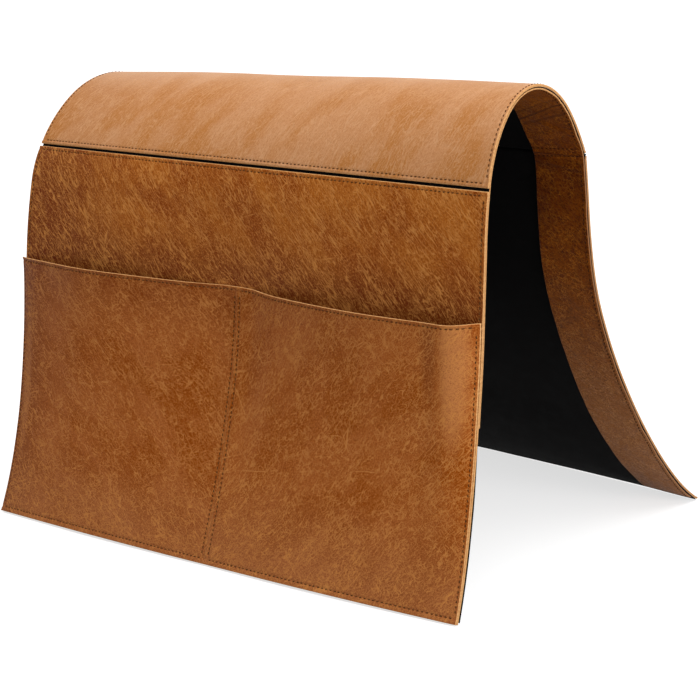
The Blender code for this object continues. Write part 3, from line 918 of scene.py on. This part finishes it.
# Bands where a hide's colour is painted darker or paler, mostly as painted shade: across the pattern (0) or
# along it (1), from and to in mm, how much, what
# A pale haze painted low on the pockets: a painted reflection of the white floor
PAINTED_FLOOR_SHEEN = (0.290, 0.130, 0.058)
SHADE_AND_LIGHT_BANDS = {
    # The top: painted shade towards its left end, and a painted highlight along the ridge
    "top": ((0, -225, -100, 0.32, TOP_HIDE_AND_SHEEN[0]), (1, 0, -45, 0.25, (0.66, 0.40, 0.22))),
    # The front panel: painted shade just above the mouths, behind the pockets, and towards its left end
    "front": ((1, -196, -145, 0.85, FRONT_HIDE[0]), (0, -225, -85, 0.80, FRONT_HIDE[0])),
    # The left pocket: painted shade at its left edge, darker just below its mouth, and a painted floor
    # reflection at its foot
    "left": (
        (0, -225, -175, 0.78, POCKET_HIDE[0]),
        (1, -196, -245, 0.50, POCKET_HIDE[0]),
        (1, -412, -330, 0.35, PAINTED_FLOOR_SHEEN),
    ),
    # The right pocket: darker beside the middle and just below its mouth, and a painted floor reflection at
    # its foot
    "right": (
        (0, 0, 24, 0.15, POCKET_HIDE[0]),
        (1, -196, -222, 0.15, POCKET_HIDE[0]),
        (1, -412, -320, 0.40, PAINTED_FLOOR_SHEEN),
    ),
}
# Oval places where a hide is painted paler, as a painted highlight (at the right pocket's corner also as
# leather paler where it is pulled over a bend), or darker, as painted shade in a hollow: middle across and
# along, half sizes, how much, what
PALE_HIGHLIGHT = (0.500, 0.205, 0.070)
LIGHT_AND_SHADE_SPOTS = {
    "right": ((210, -220, 13, 84, 0.62, PALE_HIGHLIGHT), (190, -214, 9, 46, 0.40, POCKET_HIDE[0])),
    "left": ((-216, -300, 6, 80, 0.35, PALE_HIGHLIGHT),),
}


def cover_leather(name, offset, hide, turn, cross, stretch, size, net, scuff):
    """Pull-up leather: deep and waxy clouds, a fine net of pale wrinkles, a few scratches and dark pores.

    The wrinkles run along the turned direction and across it, the longer the smaller stretch is.
    """
    g = Graph(name)
    pore, deep, waxy, line = hide
    place = g.warped(g.pattern(offset), 60, 9)
    along = lambda angle, squeeze: g.turned(place, angle, (1, squeeze, 1))
    bands = g.noise(along(turn, 0.45 + 0.4 * stretch), 34, 2, 0.45, 0.4)
    mottle = g.noise(along(turn, stretch), 5, 3, 0.6, 0.3)
    tone = g.blend((bands, 0.8), (mottle, 0.2))
    color = g.mix(g.ramp(tone, 0.38, 0.62), deep, waxy)
    flat = g.places()
    place_name = name.split("_")[0]
    # Painted shade and painted highlights from the bands and spots above, and a painted floor reflection at
    # the pockets' feet
    for axis, start, end, share, painted_tone in SHADE_AND_LIGHT_BANDS.get(place_name, ()):
        color = g.mix(g.ramp(flat[axis], start, end, share, 0), color, painted_tone)
    for *middle, half_x, half_s, share, painted_tone in LIGHT_AND_SHADE_SPOTS.get(place_name, ()):
        offs = [
            g.math("DIVIDE", g.math("SUBTRACT", flat[axis], middle[axis]), half)
            for axis, half in ((0, half_x), (1, half_s))
        ]
        away = g.math("ADD", g.math("POWER", offs[0], 2), g.math("POWER", offs[1], 2))
        color = g.mix(g.ramp(away, 0, 1, share, 0), color, painted_tone)

    worn = g.ramp(g.noise(along(turn, 0.3), 9, 2, 0.6), 0.34, 0.58, 0.2, 1)
    rest = g.ramp(g.noise(along(turn + 40, 0.4), 9, 2, 0.6), 0.40, 0.60, 0.1, 1)
    layers = (
        g.math("MULTIPLY", g.wrinkles(along(turn, stretch), size, 0.05), worn),
        g.math("MULTIPLY", g.wrinkles(along(turn - cross, stretch), 1.5 * size, 0.028), rest),
        g.math("MULTIPLY", g.cracks(along(turn + 6, 0.3 + 0.5 * stretch), 1.3 * size, 0.045), rest),
    )
    lines = g.math("MAXIMUM", g.math("MAXIMUM", layers[0], layers[1]), layers[2])
    strands = g.noise(along(turn, 0.25 + stretch), 0.7, 1, 0.5)
    grain = g.blend((strands, 0.6), (g.noise(place, 0.8, 2, 0.6), 0.4))
    color = g.mix(g.ramp(grain, 0.36, 0.50, 0.45 * net, 0), color, pore)
    color = g.mix(g.ramp(grain, 0.50, 0.62, 0, 0.44 * net), color, line)
    color = g.mix(g.math("MULTIPLY", lines, 0.75 * net), color, line)

    marks = 0.0
    for angle, apart in ((28, 34), (-41, 41), (75, 47)):
        mark = g.cracks(along(angle, 0.05), apart, 0.007)
        mark = g.math("MULTIPLY", mark, g.ramp(g.noise(place, 15 + apart / 8, 2), 0.56, 0.68))
        marks = g.math("MAXIMUM", marks, mark)
    color = g.mix(g.math("MULTIPLY", marks, scuff), color, line)

    height = g.blend((grain, 0.8), (mottle, 0.5), (lines, -0.25), (marks, -0.3))
    rough = g.ramp(g.blend((mottle, 0.6), (lines, 0.25)), 0.2, 0.7, 0.40, 0.56)
    tint = {"Specular IOR Level": 0.09, "Specular Tint": (1.0, 0.76, 0.52, 1)}
    return g.finish(color, height, rough, 0.6, 0.0006, **tint)


def cut_edge_leather(name, shade_share=0.0):
    """The raw cut through the hide: pale tan, with fibres across it, and darker towards the back hem as
    painted shade.
    """
    g = Graph(name)
    place = g.pattern((13, 7, 0))
    tone = g.noise(place, 2.2, 4, 0.6)
    color = g.mix(g.ramp(tone, 0.3, 0.7), (0.42, 0.185, 0.052), (0.68, 0.365, 0.135))
    fibre = g.noise(g.pattern((0, 0, 5), 0, (1, 1, 6)), 0.5, 3, 0.6)
    color = g.mix(g.ramp(fibre, 0.45, 0.7, 0, 0.35), color, (0.24, 0.090, 0.025))
    # Painted shade on the cut edges past the ridge, on their shadow side
    color = g.mix(g.ramp(g.places()[1], 20, 110, 0, shade_share), color, (0.20, 0.075, 0.022))
    return g.finish(color, fibre, g.ramp(tone, 0.3, 0.7, 0.75, 0.9), 0.5, 0.0003)


def flesh_side_leather():
    """The rough back of the hide."""
    g = Graph("flesh_side")
    place = g.pattern((3, 21, 0))
    nap = g.noise(place, 1.1, 5, 0.7)
    tone = g.noise(place, 18, 3, 0.55)
    color = g.mix(g.ramp(tone, 0.35, 0.65), (0.16, 0.060, 0.020), (0.27, 0.115, 0.045))
    color = g.mix(g.ramp(nap, 0.4, 0.65, 0, 0.4), color, (0.40, 0.20, 0.09))
    return g.finish(color, nap, g.ramp(nap, 0.3, 0.7, 0.82, 0.95), 0.6, 0.0004, **{"Sheen Weight": 0.2})


DARK_BROWN = (0.040, 0.007, 0.001)
# Painted shade in the facing's hollows, dark lines along its creases: s in the strip's middle, slant of s with
# x, width, how dark
CREASE_SHADE_LINES = (
    (50.5, -0.5, 1.9, 0.75),
    (43.5, -0.5, 1.6, 0.35),
    (59.0, -0.35, 2.4, 0.45),
    (104.5, 0.15, 1.6, 0.4),
)


def facing_leather():
    """Thin brown leather inside the edges, darker and more wrinkled than the outside, with painted light near
    the ridge and towards the back hem and painted shade in its creases.
    """
    g = Graph("facing_hide")
    place = g.pattern((41, 17, 0))
    grain = g.pattern((41, 17, 0), 50, (1, 0.5, 1))
    cloud = g.noise(grain, 12, 4, 0.6, 0.8)
    mottle = g.noise(grain, 3.6, 5, 0.65, 0.5)
    tone = g.blend((cloud, 0.55), (mottle, 0.45))
    color = g.mix(g.ramp(tone, 0.34, 0.64), (0.130, 0.022, 0.001), (0.250, 0.056, 0.003))
    net = g.math("MAXIMUM", g.wrinkles(grain, 2.8, 0.05), g.cracks(g.warped(place, 6, 3), 3.4, 0.05))
    pale = g.math("MULTIPLY", net, g.ramp(g.noise(place, 12, 2), 0.36, 0.56, 0.35, 1))
    dark = g.cracks(g.warped(place, 5, 4), 2.6, 0.10)
    across, flat, _ = g.places()
    strands = g.noise(g.pattern((41, 17, 0), 62, (1, 0.3, 1)), 1.3, 3, 0.6)
    color = g.mix(g.ramp(strands, 0.38, 0.50, 0.62, 0), color, DARK_BROWN)
    # Painted light: paler near the ridge, where light comes in through the opening, and paler towards the back
    # hem, where light from the right falls on the strip; the pale wrinkles grade paler the same way
    color = g.mix(g.ramp(flat, 30, 92, 0.35, 0), color, (0.34, 0.095, 0.008))
    color = g.mix(g.ramp(flat, 140, 400, 0, 0.8), color, (0.440, 0.165, 0.048))
    light = g.mix(g.ramp(flat, 140, 400), (0.41, 0.125, 0.010), (0.60, 0.27, 0.10))
    color = g.mix(pale, color, light)
    color = g.mix(g.math("MULTIPLY", dark, 0.5), color, DARK_BROWN)
    seam = g.math("ABSOLUTE", g.math("SUBTRACT", flat, BACK_FOLD_S / MM))
    color = g.mix(g.ramp(seam, 0.2, 0.8, 0.85, 0), color, DARK_BROWN)
    below = g.math("MULTIPLY", g.ramp(flat, 95, 97), g.ramp(flat, 110, 190, 0.30, 0))
    color = g.mix(below, color, DARK_BROWN)
    past = g.math("SUBTRACT", g.math("ABSOLUTE", across), (HALF_WIDTH - FACING_WIDTH / 2) / MM)
    for middle, slant, width, share in CREASE_SHADE_LINES:
        far = g.math("SUBTRACT", g.math("SUBTRACT", flat, middle), g.math("MULTIPLY", past, slant))
        far = g.math("ABSOLUTE", g.math("ADD", far, g.math("MULTIPLY", cloud, 4.0)))
        color = g.mix(g.ramp(far, 0.3, width, share, 0), color, DARK_BROWN)
    grain = g.noise(place, 1.2, 3, 0.6)
    height = g.blend((grain, 0.8), (mottle, 0.8), (strands, 0.5), (dark, -0.35), (pale, 0.2))
    gloss = {"Specular IOR Level": 0.09, "Specular Tint": (1.0, 0.80, 0.60, 1)}
    return g.finish(color, height, g.ramp(mottle, 0.3, 0.7, 0.46, 0.64), 0.65, 0.0005, **gloss)


def black_lining_cloth():
    """Black plain-woven lining, matt."""
    g = Graph("lining_weave")
    threads = [g.math("SINE", g.math("MULTIPLY", value, 2 * math.pi / 0.9)) for value in g.places()[:2]]
    weave = g.math("MULTIPLY", *threads)
    dust = g.noise(g.pattern(), 9, 4, 0.6)
    color = g.mix(g.ramp(dust, 0.4, 0.75), (0.0012, 0.0010, 0.0010), (0.0040, 0.0034, 0.0034))
    color = g.mix(g.ramp(weave, 0, 1, 0, 0.4), color, (0.0075, 0.0070, 0.0070))
    gloss = {"Specular IOR Level": 0.06}
    return g.finish(color, weave, g.ramp(dust, 0.3, 0.7, 0.86, 0.96), 0.4, 0.0002, **gloss)


def dark_thread(name, dark, light):
    """Dark brown waxed thread, twisted."""
    g = Graph(name)
    fibre = g.noise(g.add("TexCoord").outputs["Object"], 0.0006, 3, 0.6)
    color = g.mix(g.ramp(fibre, 0.35, 0.65), dark, light)
    gloss = {"Specular IOR Level": 0.03}
    return g.finish(color, fibre, g.ramp(fibre, 0.3, 0.7, 0.65, 0.8), 0.4, 0.0001, **gloss)


def declare(piece, body, slot, *nodes):
    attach(piece, body)
    if nodes:
        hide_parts(*nodes)


def bend(piece, half, slot, *nodes):
    """Bakes a sheet's placement into its mesh and hides the CAD parts that it stands for; the half's hinge,
    fold and heading are worked out but not used.
    """
    if half == "front":
        axis, fold, side = front_axis, FRONT_FOLD_S, -1
    else:
        axis, fold, side = back_axis, BACK_FOLD_S, 1
    along, _, _, heading = SECTIONS[1]
    angle = np.interp(fold, along, heading)
    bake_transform(piece)
    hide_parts(*nodes)


def dress():
    """Makes every piece of the cover and ties the panels, pockets and stitches to the frame."""
    edge, flesh = cut_edge_leather("cut_edge", 0.35), flesh_side_leather()
    strip_edge = cut_edge_leather("facing_cut_edge", 0.85)
    facing, lining = facing_leather(), black_lining_cloth()
    thread = dark_thread("waxed_thread", (0.045, 0.015, 0.004), (0.130, 0.050, 0.015))
    # A darker copy of the thread for the rows inside the arch: painted shade
    shaded_thread = dark_thread("shaded_inner_thread", (0.020, 0.006, 0.002), (0.060, 0.022, 0.008))
    leather = {
        "top": cover_leather("top_hide", (0, 0, 0), TOP_HIDE_AND_SHEEN, 24, 12, 0.16, 3.0, 0.6, 0.2),
        "front": cover_leather("front_hide", (60, 15, 0), FRONT_HIDE, -41, 12, 0.12, 2.4, 1.05, 0.6),
        "back": cover_leather("back_hide", (30, 90, 0), BACK_HIDE, -30, 50, 0.25, 3.0, 0.9, 0.4),
        "left": cover_leather("left_pocket_hide", (110, 40, 0), LEFT_HIDE_SHADED, -50, 68, 0.26, 2.8, 0.95, 0.7),
        "right": cover_leather("right_pocket_hide", (170, 65, 0), POCKET_HIDE, 36, 72, 0.28, 2.8, 1.0, 0.8),
    }

    panels = build_panels(leather, edge, flesh)
    for name, body, length, held, under in (
        ("top", "arch", SEAM_TOP - SLIT_TOP, "draped", ("front", "back")),
        ("front", "front_flap", SLIT_BOTTOM - FRONT_HEM, "hung", ("front",)),
        ("back", "back_flap", BACK_HEM - SEAM_BOTTOM, "hung", ("back",)),
    ):
        piece = panels[name]
        declare(piece, body, "cover_leather", f"{name}_panel")

    for side, piece in build_pockets(leather, edge, flesh).items():
        declare(piece, "front_flap", "cover_leather", f"{side}_pocket")

    cloths = {"front": ("top_lining", "front_lining"), "back": ("back_lining",)}
    for half, piece in build_linings(lining).items():
        bend(piece, half, "black_lining", *cloths[half])
        length = -FRONT_HEM - LINING_HEM if half == "front" else BACK_HEM - LINING_HEM

    for (half, side), piece in build_facings(facing, strip_edge).items():
        parts = ("front", "top") if half == "front" else ("back",)
        bend(piece, half, "facing_leather", *(f"{part}_{side}_facing" for part in parts))
        length = FRONT_FACING_DROP - SLIT_BOTTOM if half == "front" else BACK_HEM - FACING_SETBACK

    for piece, body, node in build_stitching(thread):
        declare(piece, body, "dark_thread", node)
    for piece, body in build_inner_stitching(shaded_thread):
        declare(piece, body, "dark_thread")


# The camera stands where the photograph was taken from, placed from the front fold
CAMERA_PLACE = mm(878.6, -978.4, 471.5)
CAMERA_TURNS = (76.774, 0, 38.327)
CAMERA_LENS = 89.1


def place_camera():
    data = bpy.data.cameras.new("photo_camera")
    data.lens = CAMERA_LENS
    data.sensor_width = 36
    data.clip_start = 0.05
    camera = placed("photo_camera", data)
    camera.location = CAMERA_PLACE + (0, FRONT_FOLD[0], 0)
    camera.rotation_euler = np.radians(CAMERA_TURNS)
    bpy.context.scene.camera = camera


def add_light(name, kind, direction, power, **settings):
    """A light that shines in this direction, with its data's other settings."""
    data = bpy.data.lights.new(name, kind)
    data.energy = power
    for key, value in settings.items():
        setattr(data, key, value)
    light = placed(name, data)
    light.rotation_euler = Vector(direction).to_track_quat("-Z", "Y").to_euler()
    return light


WORLD_FILL = 0.20
SKY_STRENGTH = 3.2
SKY_SPREAD = 70
SKY_DIRECTION = (-0.08, 0.12, -1)
SIDE_POWER = 34.0
SIDE_PLACE = (2.2, -0.35, 0.75)
SIDE_SIZE = (1.0, 1.2)
FLOOR_HALF = 30.0
FLOOR_GLOW = 0.68


def light_studio():
    """A white world for the camera and for gloss, an even fill, and light from above and from the right."""
    scene = bpy.context.scene
    scene.view_settings.view_transform = "Standard"
    world = bpy.data.worlds.new("studio")
    world.use_nodes = True
    scene.world = world
    g = Graph(tree=world.node_tree)
    fill = g.add("Background", {"Color": (1, 1, 1, 1), "Strength": WORLD_FILL})
    white = g.add("Background", {"Color": (1, 1, 1, 1), "Strength": 1.0})
    g.shown(fill, white, "OutputWorld")

    add_light("above", "SUN", SKY_DIRECTION, SKY_STRENGTH, angle=math.radians(SKY_SPREAD))
    centre = Vector((0, FRONT_FOLD[0] + 0.07, 0.2))
    place = Vector(SIDE_PLACE) + Vector((0, centre.y, 0))
    shape = {"shape": "RECTANGLE", "size": SIDE_SIZE[0], "size_y": SIDE_SIZE[1]}
    add_light("side", "AREA", centre - place, SIDE_POWER, **shape).location = place

    g = Graph("pale_floor")
    grain = g.noise(g.add("TexCoord").outputs["Object"], 0.3, 3)
    plain = g.add("BsdfDiffuse", {"Color": g.mix(grain, (0.44, 0.44, 0.44), (0.47, 0.47, 0.47))})
    glow = g.add("Emission", {"Color": (1, 1, 1, 1), "Strength": FLOOR_GLOW})
    added = g.add("AddShader", {0: plain.outputs[0], 1: glow.outputs[0]})
    g.shown(plain, added, "OutputMaterial")
    mesh = bpy.data.meshes.new("floor")
    corners = [(x * FLOOR_HALF, y * FLOOR_HALF, 0) for x, y in ((-1, -1), (1, -1), (1, 1), (-1, 1))]
    mesh.from_pydata(corners, [], [(0, 1, 2, 3)])
    mesh.materials.append(g.material)
    placed("floor", mesh)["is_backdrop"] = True


dress()
place_camera()
light_studio()

[[list(map(float, corner)) for corner in box] for box in (cad_box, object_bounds())]
